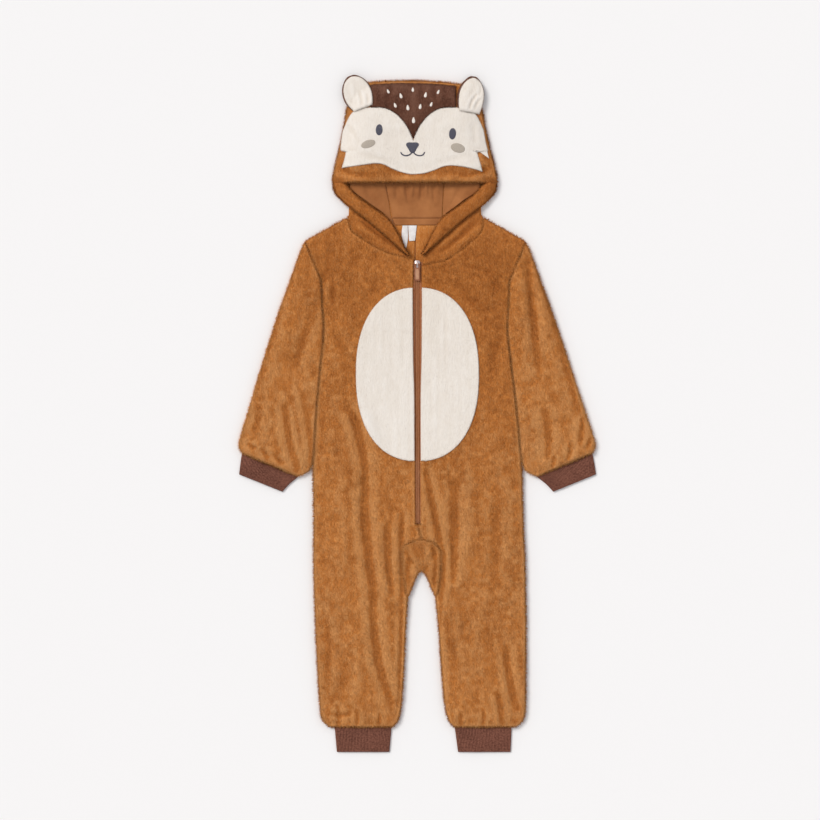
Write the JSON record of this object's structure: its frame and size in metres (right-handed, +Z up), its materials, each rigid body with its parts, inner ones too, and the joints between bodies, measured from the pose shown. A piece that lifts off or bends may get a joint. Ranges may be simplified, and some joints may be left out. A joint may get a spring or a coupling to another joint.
{
  "type": "child's hooded one-piece pyjama",
  "caption": "Plush hooded one-piece pyjama laid flat, its hood an animal's face with ears, a cream oval on the belly, rib cuffs, and a front zip whose pull tab lifts.",
  "frame": {"origin": "middle of the outline as it lies, on the surface that it lies on", "axes": "+X towards the wearer's left, which is right in the picture, +Y from the feet to the hood, +Z up out of the front"},
  "size_m": [0.5352, 1.0212, 0.0197],
  "materials": {
    "tan_plush": "short soft pile, matt with a light sheen along the edges",
    "cream_plush": "short soft pile, matt",
    "dark_plush": "short soft pile, matt",
    "rib_knit": "fine rib knit, matt",
    "lining_jersey": "plain jersey, matt",
    "label_satin": "smooth white ribbon, blank",
    "zip_fabric": "woven tape with a nylon coil",
    "slider_metal": "polished, a warm silver",
    "pull_paint": "smooth brown enamel"
  },
  "bodies": {
    "garment": {"front_left": "tan_plush", "front_right": "tan_plush", "back_left": "tan_plush", "back_right": "tan_plush", "crotch_gusset": "tan_plush", "sleeve_left": "tan_plush", "sleeve_right": "tan_plush", "sleeve_cuff_left": "rib_knit", "sleeve_cuff_right": "rib_knit", "leg_cuff_left": "rib_knit", "leg_cuff_right": "rib_knit", "hood_front": "tan_plush", "hood_back": "tan_plush", "hood_edge_left": "tan_plush", "hood_edge_right": "tan_plush", "hood_side_left": "tan_plush", "hood_side_right": "tan_plush", "lining_centre": "lining_jersey", "lining_left": "lining_jersey", "lining_right": "lining_jersey", "neck_tape": "lining_jersey", "label_long": "label_satin", "label_short": "label_satin", "ear_back_left": "dark_plush", "ear_back_right": "dark_plush", "ear_front_left": "cream_plush", "ear_front_right": "cream_plush", "forehead": "dark_plush", "face_mask": "cream_plush", "belly_left": "cream_plush", "belly_right": "cream_plush", "zip_tape_left": "zip_fabric", "zip_tape_right": "zip_fabric", "zip_chain": "zip_fabric", "zip_slider": "slider_metal"},
    "pull": {"zip_pull": "pull_paint"}
  },
  "joints": [
    {"name": "pull_hinge", "type": "hinge", "parent": "garment", "child": "pull", "pos_m": [-0.00031, 0.22039, 0.01105], "axis": [-1, 0, 0], "range_deg": [0, 165]}
  ]
}
